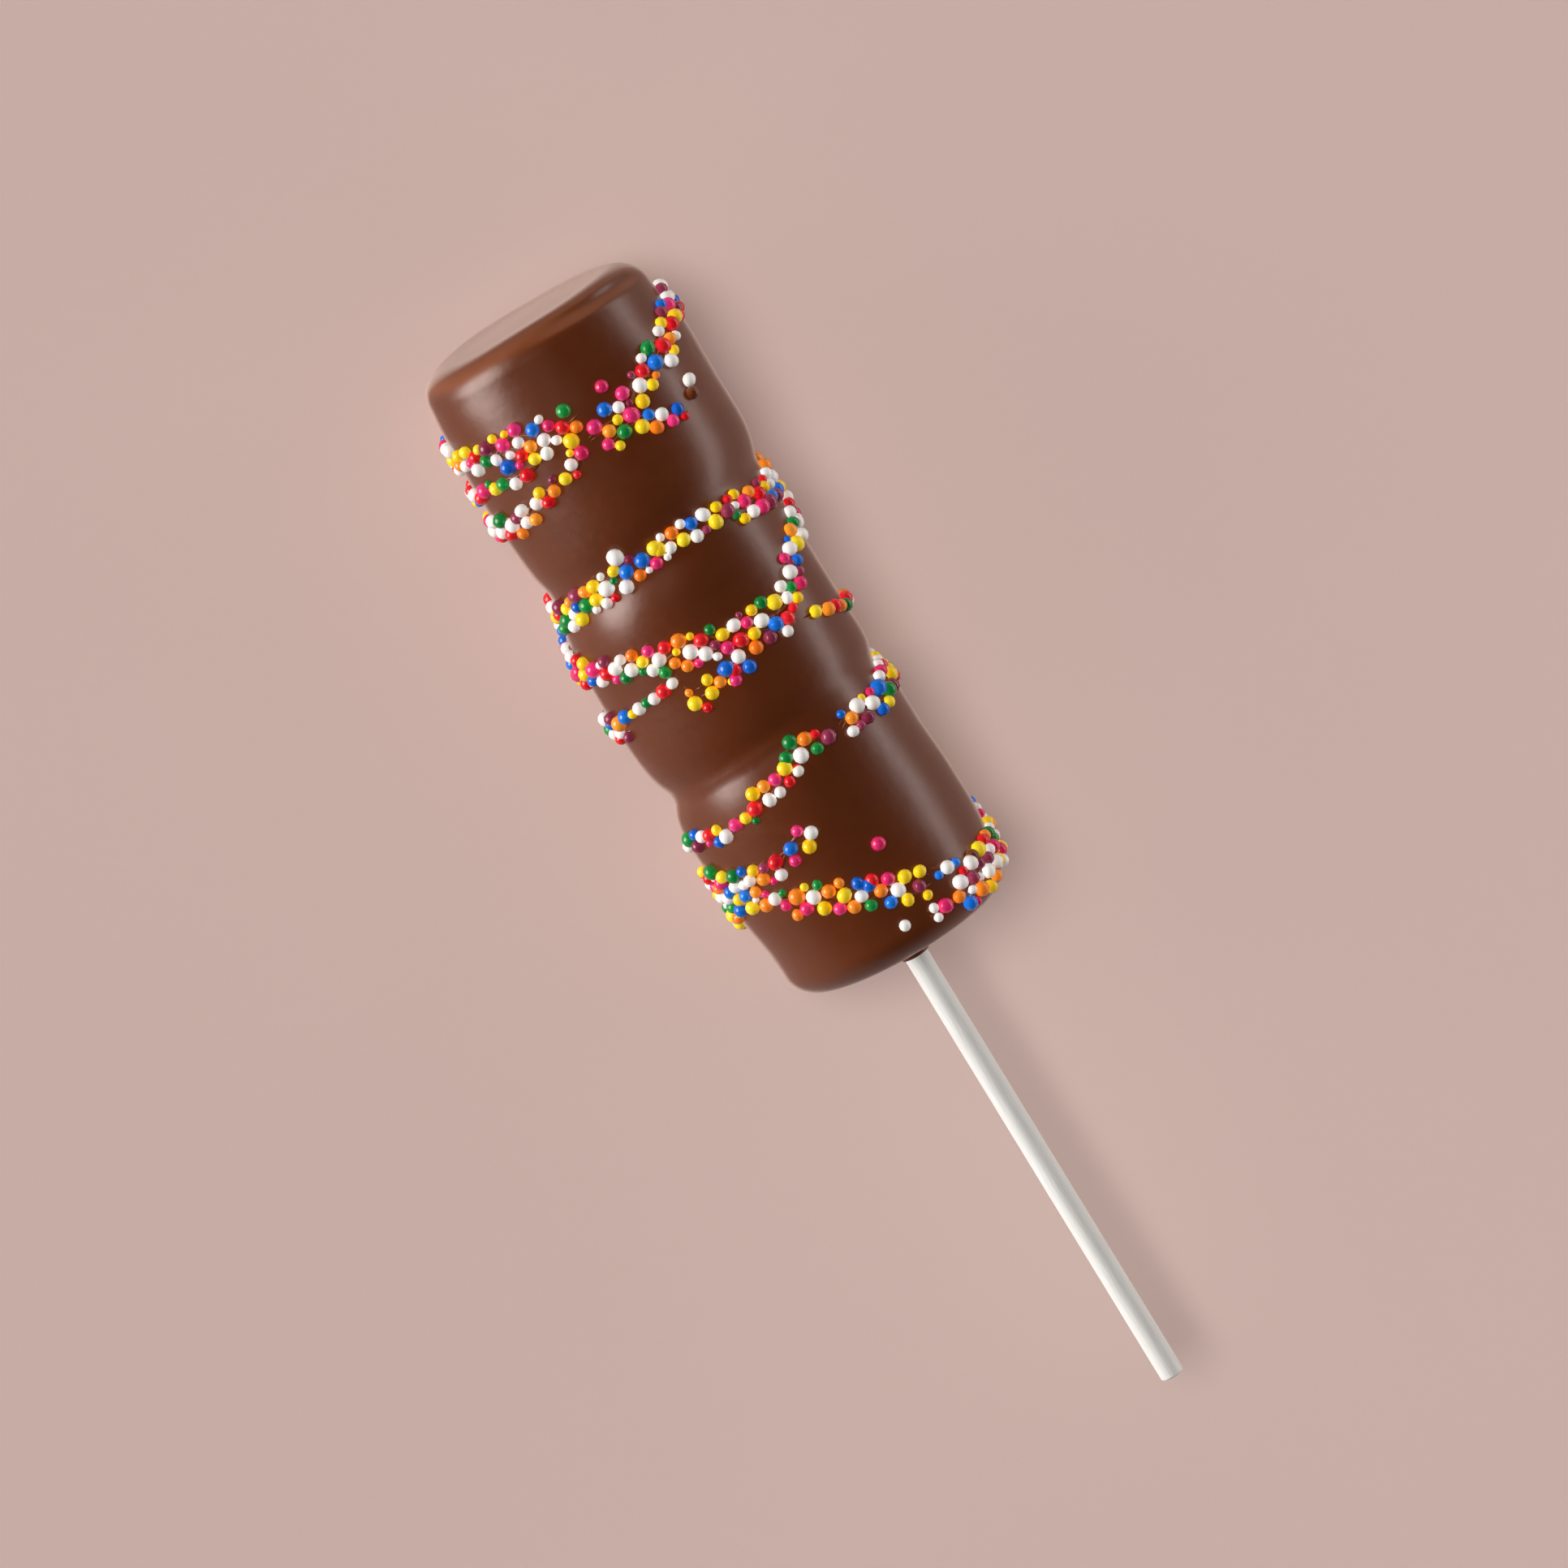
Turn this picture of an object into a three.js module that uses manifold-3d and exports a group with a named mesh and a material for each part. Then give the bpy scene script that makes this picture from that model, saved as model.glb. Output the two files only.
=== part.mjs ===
// A chocolate-covered marshmallow pop: three large marshmallows threaded on a paper stick, dipped in
// milk chocolate, with bands of small sugar balls. It lies on its side as it would on a table.
// Units are millimetres. +Z is up, the stick runs along Y and its free end points towards -Y.
import * as THREE from "three";
import { mergeVertices } from "three/addons/utils/BufferGeometryUtils.js";
import Module from "manifold-3d";

const wasm = await Module();
wasm.setup();

// Places along the stick are given from the point where it leaves the chocolate, towards the far end.
const stickDiameter = 3.5;
const stickLength = 150;
const stickShown = 70.6;
const stickEdge = 0.4;
const stickSides = 24;
const stickGap = 0.2;
const blindGap = 0.4;
const boreLead = 1;

// The stick's axis lies a little beside the middle of the pop's box, as the coat bulges more to one side.
const axisSide = 0.8;

// The coat. Its axis height is a little less than its radius, so it has small flat spots to lie on.
const axisHeight = 17.7;
const coatBottom = 2.3;
const coatTop = 104.7;
const coatSides = 32;
const rowStep = 3.3;
const bottomRounding = 4.1;
const bottomDome = 0.5;
const bottomTaper = { depth: 0.8, from: 18, to: 6 };
const bottomSteps = 5;
const topRounding = 4;
const topTaper = { depth: 1.2, from: 90, to: 103 };
const topSteps = 5;
const rimWidth = 2.2;
const dishDepth = 0.15;
const dishSag = -0.1;
const collarEnd = 0.15;
const collarRadius = 2.6;
const collarSoftness = 0.3;
const collarSpread = 0.4;
const collarLength = 1.2;
const collarFoot = 4.2;

// The three marshmallows under the coat, stick side first. A squarer one has fuller shoulders.
const marshmallows = [
  { from: -2, to: 38.3, radius: 18.15, squareness: 9 },
  { from: 36.6, to: 69.6, radius: 18, squareness: 6.5 },
  { from: 67.8, to: 112, radius: 18.5, squareness: 6 },
];
const grooveRadius = [
  [37.7, 16.8],
  [68.7, 17.2],
];
const grooveBlend = 0.6;

// How far the middle of the coat lies beside the stick's axis, at places along the stick.
const centreLine = [
  [2.5, 0.1],
  [10, 0.1],
  [20, -0.4],
  [29, -0.8],
  [37.7, -0.6],
  [48, -1.1],
  [60, -1.1],
  [69, -0.4],
  [78, 0],
  [92, 0],
  [99, -0.5],
  [104.7, -0.6],
];

// The bottom edge and the grooves run a little aslant, sideways and from the top to the underside.
const grooveSlants = [
  { at: 3, sideways: -0.018, upwards: 0.024, reach: 8 },
  { at: 37.7, sideways: 0.058, upwards: 0.06, reach: 9 },
  { at: 68.7, sideways: 0.035, upwards: 0.02, reach: 9 },
];

// More chocolate has run into the first groove on its upper side, between the angles from and to.
const grooveFill = { at: 37.7, depth: 0.55, reach: 1.7, from: -80, full: -45, fading: 50, to: 85 };

// Soft waves that make the coat uneven: depth in mm, waves round the coat, turn per mm, start.
const waves = [
  { depth: 0.14, round: 2, twist: 0.09, start: 1.1 },
  { depth: 0.1, round: 3, twist: -0.15, start: 0.4 },
  { depth: 0.06, round: 5, twist: 0.23, start: 2.6 },
];

// The rim of the top face rises and falls a little. On its upper side a shallow fold runs along it,
// between the angles from and to, and gets farther from the top face on its way.
const rimReach = 6;
const rimWaves = [
  { height: 0.14, round: 2, start: 0.8 },
  { height: 0.07, round: 5, start: 2.2 },
];
const fold = { depth: 0.55, halfWidth: 1.3, from: -12, full: 22, fading: 58, to: 78, near: 1.3, far: 2.3 };

// Bands of sugar balls. Each is a path of [degrees from the top, mm along the stick] with half its width.
const bands = [
  { half: 1.5, path: [[-88, 93.2], [-62, 92.6], [-45, 92]] },
  { half: 2.4, path: [[-45, 91.9], [-30, 91.6], [-18, 91.2], [-6, 90.4]] },
  { half: 0.9, path: [[-88, 87], [-58, 87.9], [-42, 87.6], [-31, 88.6]] },
  { half: 1.4, path: [[-88, 81.8], [-70, 82.3], [-56, 81.8], [-46, 82.8]] },
  { half: 1, path: [[-46, 82.8], [-36, 83.8], [-26, 84.6], [-17, 85.4], [-10, 87.6]] },
  { half: 1.7, path: [[-1, 87.4], [10, 88.9], [22, 89.8], [32, 91.2]] },
  { half: 1.8, path: [[32, 91.6], [46, 92.2], [58, 94.4], [72, 95.6], [90, 96.6]] },
  { half: 1.2, path: [[2, 86], [14, 86.3], [24, 85.3], [38, 84.4]] },
  { half: 1.8, path: [[-90, 66.6], [-60, 67.2], [-46, 68.2], [-32, 68.8]] },
  { half: 1.5, path: [[-32, 68.8], [-20, 69.4], [-4, 69.9], [16, 70.2]] },
  { half: 1.3, path: [[16, 70], [26, 69.4], [38, 69.2]] },
  { half: 1.9, path: [[38, 68.8], [52, 67.9], [70, 67.4], [90, 68.4]] },
  { half: 0.8, path: [[-90, 62.4], [-76, 61.2], [-66, 60.2]] },
  { half: 1.5, path: [[-90, 58.6], [-60, 58.7], [-44, 58], [-30, 57.4]] },
  { half: 2, path: [[-30, 57.2], [-14, 56], [0, 55.2], [12, 54.2]] },
  { half: 1.5, path: [[0, 53.2], [14, 53], [26, 52.6], [34, 52.2]] },
  { half: 1.8, path: [[14, 54.8], [28, 54.6], [44, 55]] },
  { half: 1.5, path: [[44, 55.8], [52, 58.2], [62, 60], [74, 61.8], [90, 63.4]] },
  { half: 1.7, path: [[-90, 49.8], [-66, 50.2]] },
  { half: 0.5, path: [[-66, 51.2], [-56, 51.5], [-42, 52.1], [-31, 52.8], [-24, 54.2]] },
  { half: 0.5, path: [[-23, 51], [-22, 48.8], [-18, 48]] },
  { half: 1.1, path: [[-16, 50.2], [-8, 50.4], [0, 50.2], [7, 50.4]] },
  { half: 0.6, path: [[44, 51], [54, 50.2], [62, 49.1], [74, 48.4], [90, 48]] },
  { half: 0.9, path: [[-78, 31.4], [-60, 31.4], [-44, 31], [-30, 31.8]] },
  { half: 1.3, path: [[-30, 32], [-20, 33.4], [-8, 34.6], [4, 36], [19, 36]] },
  { half: 0.7, path: [[2, 37.6], [9, 37.6]] },
  { half: 1.5, path: [[30, 35.8], [42, 35.9], [56, 35.5], [70, 36.2], [90, 37.4]] },
  { half: 2.3, path: [[-90, 24.8], [-64, 23.8], [-46, 22.8]] },
  { half: 1.4, path: [[-46, 23.4], [-32, 23.6], [-18, 25.2], [-9, 26.2]] },
  { half: 1.1, path: [[-66, 20.9], [-50, 20.6], [-36, 19.4]] },
  { half: 2.1, path: [[-34, 18.4], [-20, 17], [-6, 14.9], [6, 13.4], [20, 11.8]] },
  { half: 0.8, path: [[28, 11.8], [33, 11], [38, 11.5]] },
  { half: 0.9, path: [[17, 7.3], [26, 7], [34, 7]] },
  { half: 2.5, path: [[34, 7.2], [46, 7.4], [60, 8.2], [90, 8.6]] },
  { half: 1.9, path: [[90, 96.6], [140, 95.4], [196, 95.6], [240, 94.2], [272, 93.2]] },
  { half: 1, path: [[196, 94.2], [236, 88.6], [272, 87]] },
  { half: 1.3, path: [[150, 92], [206, 85.6], [244, 82.4], [272, 81.8]] },
  { half: 1.8, path: [[90, 68.4], [140, 69.8], [210, 69.4], [270, 66.6]] },
  { half: 1.5, path: [[90, 63.4], [132, 64], [206, 61.4], [270, 58.8]] },
  { half: 0.9, path: [[206, 61.4], [240, 63], [270, 62.4]] },
  { half: 1.1, path: [[90, 48], [136, 46.4], [214, 51.8], [270, 49.8]] },
  { half: 1.4, path: [[90, 37.4], [140, 38.2], [214, 34], [232, 33.2]] },
  { half: 1.9, path: [[90, 9], [132, 15.2], [214, 22.4], [270, 23.4]] },
  { half: 1.4, path: [[90, 7.4], [140, 6.8], [206, 9.6], [240, 15.4], [294, 20.9]] },
];

// Single balls that lie apart from the bands: degrees, mm along the stick, radius.
const loneBalls = [
  [11.5, 93, 1.05],
  [49.3, 86.9, 1],
  [-21, 72.2, 1.3],
  [12, 19.7, 1.05],
  [2, 8, 0.85],
];

// The balls' sizes and how they are strewn.
const unrollRadius = 18.3;
const ballLargest = 1.04;
const ballSmallest = 0.6;
const ballVariation = 0.14;
const ballSunk = 0.3;
const ballCloseness = 0.95;
const triesPerArea = 18;
const settleStep = 0.15;
const startSpread = 0.5;
const strewSeed = 20231;
const cellSize = 3;
const normalStep = 0.05;
const footClearance = 0.15;

// Only the largest balls, evenly spaced, are solid here.
const solidBallSpacing = 2.7;
const solidBallsMost = 198;

// Repeatable draws from 0 to 1.
function makeDraw(seed) {
  let state = seed;
  return () => {
    state = (state * 48271) % 2147483647;
    return state / 2147483647;
  };
}

function smoothStep(t) {
  const clamped = Math.min(Math.max(t, 0), 1);
  return clamped * clamped * (3 - 2 * clamped);
}

// A smooth curve through the stations, flat at each of them.
function throughStations(stations, at) {
  const next = stations.findIndex(([place]) => place > at);
  if (next === 0) return stations[0][1];
  if (next < 0) return stations[stations.length - 1][1];
  const [from, start] = stations[next - 1];
  const [to, end] = stations[next];
  return start + (end - start) * smoothStep((at - from) / (to - from));
}

// The larger of two values, with a rounded change from one to the other.
function softMax(a, b, blend) {
  const h = Math.max(blend - Math.abs(a - b), 0) / blend;
  return Math.max(a, b) + (h * h * blend) / 4;
}

function marshmallowRadius(one, along) {
  const v = Math.abs(2 * along - one.from - one.to) / (one.to - one.from);
  if (v >= 1) return 0;
  return one.radius * (1 - v ** one.squareness) ** (1 / one.squareness);
}

// The coat's radius on its side: three barrels with the grooves between them filled by chocolate.
function sideRadius(along) {
  return marshmallows.reduce(
    (radius, one) => softMax(radius, marshmallowRadius(one, along), grooveBlend),
    throughStations(grooveRadius, along),
  );
}

// How far the grooves' slant moves a point along the stick, from where it lies across and above the axis.
function grooveLean(along, across, above) {
  return grooveSlants.reduce((sum, groove) => {
    const near = Math.exp(-(((along - groove.at) / groove.reach) ** 2));
    return sum + near * (groove.sideways * across + groove.upwards * above);
  }, 0);
}

function unevenness(along, angle) {
  return waves.reduce(
    (sum, wave) => sum + wave.depth * Math.sin(wave.round * angle + wave.twist * along + wave.start),
    0,
  );
}

// Angles past half a turn count back from the top.
function degreesFromTop(angle) {
  return THREE.MathUtils.euclideanModulo(THREE.MathUtils.radToDeg(angle) + 180, 360) - 180;
}

// How much of a fold or a filling there is at an angle, from 0 to 1.
function shareRound(one, degrees) {
  const opened = smoothStep((degrees - one.from) / (one.full - one.from));
  const closed = smoothStep((degrees - one.fading) / (one.to - one.fading));
  return opened * (1 - closed);
}

function fillHeight(along, angle) {
  const near = Math.exp(-(((along - grooveFill.at) / grooveFill.reach) ** 2));
  return grooveFill.depth * near * shareRound(grooveFill, degreesFromTop(angle));
}

function foldDepth(along, angle) {
  const degrees = degreesFromTop(angle);
  const onwards = smoothStep((degrees - fold.from) / (fold.to - fold.from));
  const bed = coatTop - fold.near - (fold.far - fold.near) * onwards;
  const within = Math.max(1 - ((along - bed) / fold.halfWidth) ** 2, 0);
  return fold.depth * shareRound(fold, degrees) * within ** 2;
}

function rimRise(along, angle) {
  const share = smoothStep((along - coatTop + rimReach) / rimReach);
  return rimWaves.reduce(
    (sum, wave) => sum + share * wave.height * Math.sin(wave.round * angle + wave.start),
    0,
  );
}

// Half way between the covered end and the stick's free end.
const middle = (coatTop - stickShown) / 2;

// From radius, place along the stick and angle from the top to a point of the lying pop.
function placeOnPop(radius, along, angle) {
  const share = smoothStep((radius - collarFoot) / (unrollRadius - collarFoot));
  const relief = unevenness(along, angle) + fillHeight(along, angle) - foldDepth(along, angle);
  const uneven = radius + share * relief;
  const across = share * throughStations(centreLine, along) + uneven * Math.sin(angle);
  const above = uneven * Math.cos(angle);
  const y = along + share * (grooveLean(along, across, above) + rimRise(along, angle)) - middle;
  const z = Math.max(above + axisHeight, 0);
  return new THREE.Vector3(across + axisSide, y, z);
}

function ballBase(along, angle) {
  const side = sideRadius(along);
  const level = along - grooveLean(along, side * Math.sin(angle), side * Math.cos(angle));
  return placeOnPop(edgeRadius(level), level, angle);
}

function taperCut(taper, along) {
  return taper.depth * smoothStep((along - taper.from) / (taper.to - taper.from));
}

// The radius with the tapered and rounded ends included.
function edgeRadius(along) {
  const side = sideRadius(along) - taperCut(bottomTaper, along) - taperCut(topTaper, along);
  const bottom = coatBottom + bottomDome;
  const intoBottom = Math.max(bottom + bottomRounding - along, 0) / bottomRounding;
  const intoTop = Math.max(along - (coatTop - topRounding), 0) / topRounding;
  const bottomCut = bottomRounding * (1 - Math.sqrt(Math.max(1 - intoBottom ** 2, 0)));
  const topCut = topRounding * (1 - Math.sqrt(Math.max(1 - intoTop ** 2, 0)));
  return side - bottomCut - topCut;
}

// Steps from one value to another, evenly, with both ends.
function steps(from, to, count) {
  return Array.from({ length: count + 1 }, (_, i) => from + ((to - from) * i) / count);
}

function collarProfile() {
  return [
    [0, collarEnd],
    [collarRadius - collarSoftness, collarEnd],
    [collarRadius, collarEnd + collarSoftness],
    [collarRadius + collarSpread, collarEnd + collarLength],
    [collarFoot, coatBottom],
  ];
}

function bottomProfile() {
  const bottom = coatBottom + bottomDome;
  const flat = edgeRadius(bottom + bottomRounding) - bottomRounding;
  const dome = steps(flat / 2, flat, 1).map((r) => [r, coatBottom + bottomDome * (r / flat) ** 2]);
  const turn = steps(0, Math.PI / 2, bottomSteps).slice(1, -1);
  const edge = turn.map((a) => [
    edgeRadius(bottom + bottomRounding * (1 - Math.cos(a))),
    bottom + bottomRounding * (1 - Math.cos(a)),
  ]);
  return [...dome, ...edge];
}

function sideProfile() {
  const from = coatBottom + bottomDome + bottomRounding;
  const to = coatTop - topRounding;
  const rows = Math.round((to - from) / rowStep);
  return steps(from, to, rows).map((along) => [edgeRadius(along), along]);
}

function topProfile() {
  const turn = steps(0, Math.PI / 2, topSteps).slice(1);
  const edge = turn.map((a) => {
    const along = coatTop - topRounding * (1 - Math.sin(a));
    return [edgeRadius(along), along];
  });
  const crest = edge[edge.length - 1][0];
  const inside = [
    [crest - rimWidth / 2, coatTop - dishDepth / 5],
    [crest - rimWidth, coatTop - dishDepth / 2],
    [crest - rimWidth * 2, coatTop - dishDepth],
    [0, coatTop - dishDepth - dishSag],
  ];
  return [...edge, ...inside];
}

// A closed geometry as a solid for cutting and joining.
function toSolid(geometry) {
  const bare = geometry.clone();
  bare.deleteAttribute("normal");
  bare.deleteAttribute("uv");
  const merged = mergeVertices(bare, 1e-4);
  const mesh = new wasm.Mesh({
    numProp: 3,
    vertProperties: merged.attributes.position.array,
    triVerts: new Uint32Array(merged.index.array),
  });
  return new wasm.Manifold(mesh);
}

function toGeometry(solid) {
  const mesh = solid.getMesh();
  const geometry = new THREE.BufferGeometry();
  geometry.setAttribute("position", new THREE.BufferAttribute(mesh.vertProperties, 3));
  geometry.setIndex(new THREE.BufferAttribute(mesh.triVerts, 1));
  geometry.computeVertexNormals();
  return geometry;
}

// A lathe turned about the Y axis, its angle counted from the top (+Z) towards +X.
function lathe(profile, sides) {
  const points = profile.map(([r, y]) => new THREE.Vector2(r, y));
  return new THREE.LatheGeometry(points, sides);
}

function coatSolid() {
  const profile = [...collarProfile(), ...bottomProfile(), ...sideProfile(), ...topProfile()];
  const geometry = lathe(profile, coatSides);
  const position = geometry.attributes.position;
  for (let i = 0; i < position.count; i += 1) {
    const x = position.getX(i);
    const z = position.getZ(i);
    const angle = Math.atan2(x, z);
    const point = placeOnPop(Math.hypot(x, z), position.getY(i), angle);
    position.setXYZ(i, point.x, point.y, point.z);
  }
  return toSolid(geometry);
}

// The stick is a round rod with softened ends.
function stickGeometry() {
  const radius = stickDiameter / 2;
  const low = -stickShown;
  const high = low + stickLength;
  const cut = stickEdge * (1 - Math.SQRT1_2);
  const profile = [
    [0, low],
    [radius - stickEdge, low],
    [radius - cut, low + cut],
    [radius, low + stickEdge],
    [radius, high - stickEdge],
    [radius - cut, high - cut],
    [radius - stickEdge, high],
    [0, high],
  ];
  const geometry = lathe(profile, stickSides);
  geometry.translate(axisSide, -middle, axisHeight);
  return geometry;
}

function boreSolid() {
  const radius = stickDiameter / 2 + stickGap;
  const low = collarEnd - boreLead;
  const high = stickLength - stickShown + blindGap;
  const geometry = lathe([[0, low], [radius, low], [radius, high], [0, high]], stickSides);
  geometry.translate(axisSide, -middle, axisHeight);
  return toSolid(geometry);
}

// A path's legs, unrolled: places round the coat and along the stick, both in mm.
function unrollPath(path) {
  return path.map(([degrees, along]) => [THREE.MathUtils.degToRad(degrees) * unrollRadius, along]);
}

function legLengths(points) {
  return points.slice(1).map(([u, v], i) => Math.hypot(u - points[i][0], v - points[i][1]));
}

function pointBesidePath(points, lengths, distance, aside) {
  let left = distance;
  let leg = 0;
  while (leg < lengths.length - 1 && left > lengths[leg]) {
    left -= lengths[leg];
    leg += 1;
  }
  const [u0, v0] = points[leg];
  const du = (points[leg + 1][0] - u0) / lengths[leg];
  const dv = (points[leg + 1][1] - v0) / lengths[leg];
  return [u0 + du * left - dv * aside, v0 + dv * left + du * aside];
}

// The balls found so far, kept by cells so that neighbours are found quickly.
function makeTray() {
  const cells = new Map();
  const balls = [];
  const turn = 2 * Math.PI * unrollRadius;
  const key = (u, v) => `${Math.floor(u / cellSize)},${Math.floor(v / cellSize)}`;
  const wrap = (u) => ((u % turn) + turn) % turn;
  const isFree = (u, v, radius) => {
    for (let i = -1; i <= 1; i += 1) {
      for (let j = -1; j <= 1; j += 1) {
        const near = cells.get(key(wrap(u + i * cellSize), v + j * cellSize)) || [];
        for (const ball of near) {
          const across = Math.abs(wrap(u) - ball.u);
          const du = Math.min(across, turn - across);
          const reach = (radius + ball.radius) * ballCloseness;
          if (du * du + (v - ball.v) ** 2 < reach * reach) return false;
        }
      }
    }
    return true;
  };
  const add = (u, v, radius) => {
    const ball = { u: wrap(u), v, radius };
    const cell = key(ball.u, v);
    if (!cells.has(cell)) cells.set(cell, []);
    cells.get(cell).push(ball);
    balls.push(ball);
  };
  return { balls, isFree, add };
}

// A ball moves aside from the middle of its band until it lies free, so the balls lie close together.
function settleBall(tray, half, place, start, radius) {
  for (let aside = start; aside <= half; aside += settleStep) {
    const [u, v] = place(aside);
    if (tray.isFree(u, v, radius)) {
      tray.add(u, v, radius);
      return;
    }
  }
}

// Strews balls over every band, the large ones first and smaller ones into the gaps.
function strewBalls() {
  const draw = makeDraw(strewSeed);
  const tray = makeTray();
  for (const [degrees, along, radius] of loneBalls) {
    tray.add(THREE.MathUtils.degToRad(degrees) * unrollRadius, along, radius);
  }
  for (const band of bands) {
    const points = unrollPath(band.path);
    const lengths = legLengths(points);
    const total = lengths.reduce((sum, length) => sum + length, 0);
    const tries = Math.round(total * (2 * band.half + 1) * triesPerArea);
    for (let i = 0; i < tries; i += 1) {
      const distance = draw() * total;
      const way = draw() < 0.5 ? -1 : 1;
      const start = draw() * startSpread * band.half;
      const shrink = ballLargest + (ballSmallest - ballLargest) * (i / tries);
      const radius = shrink * (1 + (2 * draw() - 1) * ballVariation);
      const place = (aside) => pointBesidePath(points, lengths, distance, way * aside);
      settleBall(tray, band.half, place, start, radius);
    }
  }
  return tray.balls;
}

// A ball's centre, set out from the coat along its normal, and sunk into it by a share of its size.
function ballCentre(ball) {
  const angle = ball.u / unrollRadius;
  const base = ballBase(ball.v, angle);
  const round = ballBase(ball.v, angle + normalStep / unrollRadius).sub(base);
  const along = ballBase(ball.v + normalStep, angle).sub(base);
  const out = round.cross(along).normalize();
  return base.addScaledVector(out, ball.radius * (1 - 2 * ballSunk));
}

function largestApart(balls) {
  const chosen = [];
  const bySize = balls.slice().sort((a, b) => b.radius - a.radius);
  for (const ball of bySize) {
    const centre = ballCentre(ball);
    const clearOfFloor = centre.z - ball.radius > footClearance;
    const apart = chosen.every((other) => other.centre.distanceTo(centre) > solidBallSpacing);
    if (clearOfFloor && apart && chosen.length < solidBallsMost) {
      chosen.push({ centre, radius: ball.radius });
    }
  }
  return chosen;
}

// A ball with few faces, each turned by another angle.
function ballSolid({ centre, radius }, index) {
  const geometry = new THREE.IcosahedronGeometry(radius, 0);
  geometry.rotateX(index);
  geometry.rotateZ(2 * index);
  geometry.translate(centre.x, centre.y, centre.z);
  return toSolid(geometry);
}

function coatedMarshmallows() {
  let solid = coatSolid();
  largestApart(strewBalls()).forEach((ball, index) => {
    solid = solid.add(ballSolid(ball, index));
  });
  return toGeometry(solid.subtract(boreSolid()));
}

const chocolate = new THREE.MeshStandardMaterial({ color: 0x5a2f1c, roughness: 0.35, metalness: 0 });
const paper = new THREE.MeshStandardMaterial({ color: 0xe6e4df, roughness: 0.8, metalness: 0 });

function namedMesh(name, geometry, material) {
  const mesh = new THREE.Mesh(geometry, material);
  mesh.name = name;
  return mesh;
}

const pop = new THREE.Group();
pop.name = "marshmallow_pop";
pop.add(namedMesh("coated_marshmallows", coatedMarshmallows(), chocolate));
pop.add(namedMesh("stick", stickGeometry(), paper));

export default pop;
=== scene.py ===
# %% [markdown]
# # A chocolate-covered marshmallow pop
# Three large marshmallows are threaded on a paper stick, dipped in milk chocolate and banded with
# small sugar balls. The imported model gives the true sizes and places, and this lesson makes the
# surfaces that the eye sees. Every length below is written in millimetres and turned into metres in
# one place, when a piece is finished.

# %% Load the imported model
import math

import bmesh
import bpy
from mathutils import Matrix, Vector


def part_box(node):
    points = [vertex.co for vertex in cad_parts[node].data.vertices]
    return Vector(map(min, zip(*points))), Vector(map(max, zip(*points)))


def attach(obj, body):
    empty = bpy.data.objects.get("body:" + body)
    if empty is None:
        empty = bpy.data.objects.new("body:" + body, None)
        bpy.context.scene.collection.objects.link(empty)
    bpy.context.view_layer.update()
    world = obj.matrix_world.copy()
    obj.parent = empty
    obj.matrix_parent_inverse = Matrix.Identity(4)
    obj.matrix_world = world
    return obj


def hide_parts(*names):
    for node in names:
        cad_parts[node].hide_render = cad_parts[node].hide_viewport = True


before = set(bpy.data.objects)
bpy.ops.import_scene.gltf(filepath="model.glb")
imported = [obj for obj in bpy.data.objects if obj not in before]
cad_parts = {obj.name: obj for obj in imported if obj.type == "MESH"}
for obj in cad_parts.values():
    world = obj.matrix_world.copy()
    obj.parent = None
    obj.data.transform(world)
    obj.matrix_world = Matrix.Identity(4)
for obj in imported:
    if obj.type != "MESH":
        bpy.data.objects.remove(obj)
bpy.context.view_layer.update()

MM = 0.001

# %% [markdown]
# ## Where things are
# The stick is the one straight thing in the pop, so its box tells where everything lies: its middle
# height is the axis, and the length that shows tells where the chocolate begins. Places along the
# stick are counted from there towards the covered end.

# %% Places taken from the stick
stick_low, stick_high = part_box("stick")
stick_shown = 70.6
axis_side = (stick_low[0] + stick_high[0]) / 2 / MM
axis_height = (stick_low[2] + stick_high[2]) / 2 / MM
stick_radius = (stick_high[2] - stick_low[2]) / 2 / MM
stick_end = stick_low[1] / MM
stick_length = (stick_high[1] - stick_low[1]) / MM
middle = -stick_end - stick_shown
print("axis height", round(axis_height, 2), "mm, stick radius", round(stick_radius, 2), "mm")

# %% [markdown]
# ## The coat's form
# Under the chocolate are three soft barrels. A barrel with full shoulders is a superellipse turned
# round the stick, and its squareness says how full the shoulders are. Chocolate runs into the
# grooves between them, so the largest of the three radii is taken with a rounded change from one to
# the next. The same few sizes as in the solid give the same form, only with finer steps.

# %% The three barrels and the grooves
coat_bottom = 2.3
coat_top = 104.7
bottom_rounding = 4.1
bottom_dome = 0.5
bottom_taper = {"depth": 0.8, "start": 18, "stop": 6}
top_rounding = 4
top_taper = {"depth": 1.2, "start": 90, "stop": 103}
marshmallows = [
    {"start": -2, "stop": 38.3, "radius": 18.15, "squareness": 9},
    {"start": 36.6, "stop": 69.6, "radius": 18, "squareness": 6.5},
    {"start": 67.8, "stop": 112, "radius": 18.5, "squareness": 6},
]
groove_radius = [(37.7, 16.8), (68.7, 17.2)]
groove_blend = 0.6


def smooth_step(t):
    t = min(max(t, 0), 1)
    return t * t * (3 - 2 * t)


def through_stations(stations, at):
    """A smooth curve through (place, value) stations, flat at each of them."""
    if at <= stations[0][0]:
        return stations[0][1]
    for (low, start), (high, end) in zip(stations, stations[1:]):
        if at < high:
            return start + (end - start) * smooth_step((at - low) / (high - low))
    return stations[-1][1]


def soft_max(a, b, blend):
    h = max(blend - abs(a - b), 0) / blend
    return max(a, b) + h * h * blend / 4


def marshmallow_radius(one, along):
    v = abs(2 * along - one["start"] - one["stop"]) / (one["stop"] - one["start"])
    if v >= 1:
        return 0
    return one["radius"] * (1 - v ** one["squareness"]) ** (1 / one["squareness"])


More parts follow.
